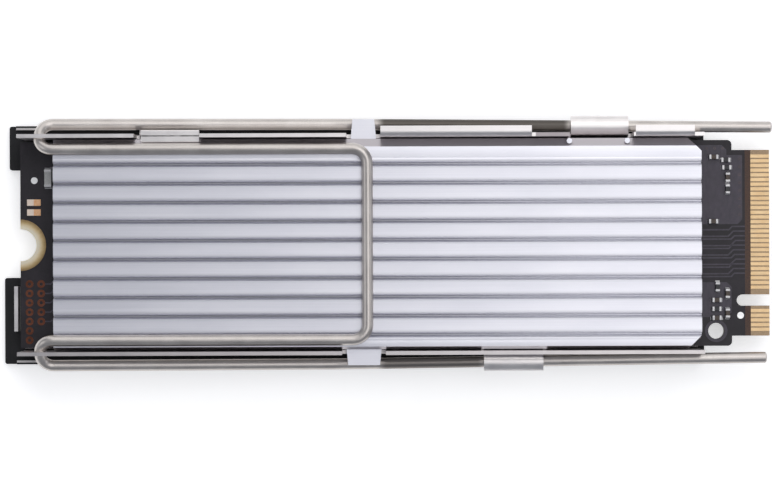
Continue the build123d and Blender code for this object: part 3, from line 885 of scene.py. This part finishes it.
def stitching_vias():
    """Small plated holes, closed by the mask, along the board's sides and behind the contacts."""
    side_x = shoulder - POUR_BORDER - VIA_FROM_CORNER
    side_y = board_high.y - POUR_BORDER - VIA_FROM_SIDE
    front_x = strip_back - POUR_BORDER
    front_y = tongue_half - POUR_BORDER - VIA_FROM_CORNER
    centers = [
        (side_x - step * VIA_PITCH, side * side_y)
        for side in (1, -1)
        for step in range(SIDE_VIAS)
    ]
    centers += [(front_x, front_y - step * VIA_PITCH) for step in range(FRONT_VIAS)]
    vias = bmesh.new()
    for center in centers:
        if (Vector(center) - Vector(hole_center)).length > HOLE_RING_OUTER + VIA_RADIUS:
            add_ring(vias, center, VIA_HOLE, VIA_RADIUS, VIA_HEIGHT, VIA_SIDES)
    add_piece("stitching_vias", vias, via_material, "tin_finish")


def tinned_bar_ends():
    """Solder on the outer half of each copper bar."""
    solder = bmesh.new()
    for low, high in solid_boxes("test_pads"):
        tin_end = low.x + TINNED_SHARE * (high.x - low.x)
        add_box(solder, low, (tin_end, high.y, high.z + FOIL), TIN_ROUND)
    add_piece("tinned_bar_ends", solder, pale_solder, "tin_finish")


def rest_tab_leaf():
    """The leaf of sheet that stands on the rest tab and is bent flat between the wire's two runs."""
    leaf = bmesh.new()
    web_low = (LEAF_START, LEAF_WEB_Y, REST_TAB_TOP)
    web_high = (LEAF_END, LEAF_WEB_Y + LEAF_SHEET, LEAF_TOP)
    add_box(leaf, web_low, web_high, LEAF_ROUND)
    flat_low = (LEAF_START, LEAF_INNER_Y, LEAF_TOP - LEAF_SHEET)
    flat_high = (LEAF_END, LEAF_OUTER_Y, LEAF_TOP)
    add_box(leaf, flat_low, flat_high, LEAF_ROUND)
    add_piece("rest_tab_leaf", leaf, node_materials["retainer_channel"], "bright_steel")


def thermal_pads():
    """Soft pads with rounded edges in place of plain slabs."""
    for node_name in ("lower_thermal_pad", "upper_thermal_pad"):
        low, high = (Vector(corner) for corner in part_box(node_name))
        pad = bmesh.new()
        add_box(pad, low, high, PAD_ROUND, PAD_ROUND_STEPS)
        piece = add_piece(f"soft_{node_name}", pad, pad_material, "thermal_pad", node_name)
        piece.data.shade_smooth()


chip_parts()
ring_pads()
bare_laminate()
tooling_hole_ring()
copper_pours()
signal_tracks()
stitching_vias()
tinned_bar_ends()
rest_tab_leaf()
thermal_pads()


def floor_finish():
    """White that keeps the object's shadow and shows as white to the camera and in metal."""
    material = bpy.data.materials.new("white_floor")
    material.use_nodes = True
    tree = material.node_tree
    tree.nodes.remove(tree.nodes["Principled BSDF"])
    diffuse = tree.nodes.new("ShaderNodeBsdfDiffuse")
    diffuse.inputs["Color"].default_value = (FLOOR_ALBEDO, FLOOR_ALBEDO, FLOOR_ALBEDO, 1)
    glow = tree.nodes.new("ShaderNodeEmission")
    path = tree.nodes.new("ShaderNodeLightPath")
    seen = path.outputs["Is Camera Ray"]
    for other in ("Is Glossy Ray", "Is Transmission Ray"):
        either = tree.nodes.new("ShaderNodeMath")
        either.operation = "MAXIMUM"
        tree.links.new(seen, either.inputs[0])
        tree.links.new(path.outputs[other], either.inputs[1])
        seen = either.outputs["Value"]
    lift = tree.nodes.new("ShaderNodeMath")
    lift.operation = "MULTIPLY"
    lift.inputs[1].default_value = FLOOR_LIFT
    tree.links.new(seen, lift.inputs[0])
    tree.links.new(lift.outputs["Value"], glow.inputs["Strength"])
    total = tree.nodes.new("ShaderNodeAddShader")
    tree.links.new(diffuse.outputs["BSDF"], total.inputs[0])
    tree.links.new(glow.outputs["Emission"], total.inputs[1])
    tree.links.new(total.outputs["Shader"], tree.nodes["Material Output"].inputs["Surface"])
    return material


def white_floor():
    """A wide floor just under the object."""
    mesh = bpy.data.meshes.new("floor")
    directions = ((-1, -1), (1, -1), (1, 1), (-1, 1))
    corners = [(x * FLOOR_REACH, y * FLOOR_REACH, 0) for x, y in directions]
    mesh.from_pydata(corners, [], [(0, 1, 2, 3)])
    mesh.materials.append(floor_finish())
    floor = bpy.data.objects.new("floor", mesh)
    floor.location.z = -FLOOR_DROP
    scene.collection.objects.link(floor)


def softbox(name, place, width, height, radiance, color):
    """An area lamp of that radiance, aimed at the object and hidden from the camera."""
    lamp = bpy.data.lights.new(name, "AREA")
    lamp.shape = "RECTANGLE"
    lamp.size = width
    lamp.size_y = height
    lamp.energy = radiance * math.pi * width * height
    lamp.color = color
    box = bpy.data.objects.new(name, lamp)
    box.location = place
    box.rotation_euler = (-Vector(place)).to_track_quat("-Z", "Y").to_euler()
    box.visible_camera = False
    scene.collection.objects.link(box)


def studio():
    """A dim sky and soft lamps above and beside the object."""
    scene.view_settings.view_transform = "Standard"
    world = bpy.data.worlds.new("studio")
    world.use_nodes = True
    background = world.node_tree.nodes["Background"]
    background.inputs["Color"].default_value = (*SKY_COLOR, 1)
    background.inputs["Strength"].default_value = SKY_STRENGTH
    scene.world = world
    for lamp in LAMPS:
        softbox(*lamp)


def photo_camera():
    """A long lens straight above the board, framed as the photograph is."""
    camera = bpy.data.cameras.new("photo_camera")
    camera.type = "PERSP"
    camera.sensor_width = SENSOR_MM
    view_width = PHOTO_WIDTH_PX / PIXELS_PER_MM * MM
    camera.lens = SENSOR_MM * CAMERA_HEIGHT / view_width
    camera.clip_start = CAMERA_NEAR
    holder = bpy.data.objects.new("photo_camera", camera)
    holder.location = (CAMERA_X, CAMERA_Y, board_top + CAMERA_HEIGHT)
    holder.rotation_euler = (0, 0, CAMERA_ROLL)
    scene.collection.objects.link(holder)
    bpy.context.scene.camera = holder


white_floor()
studio()
photo_camera()
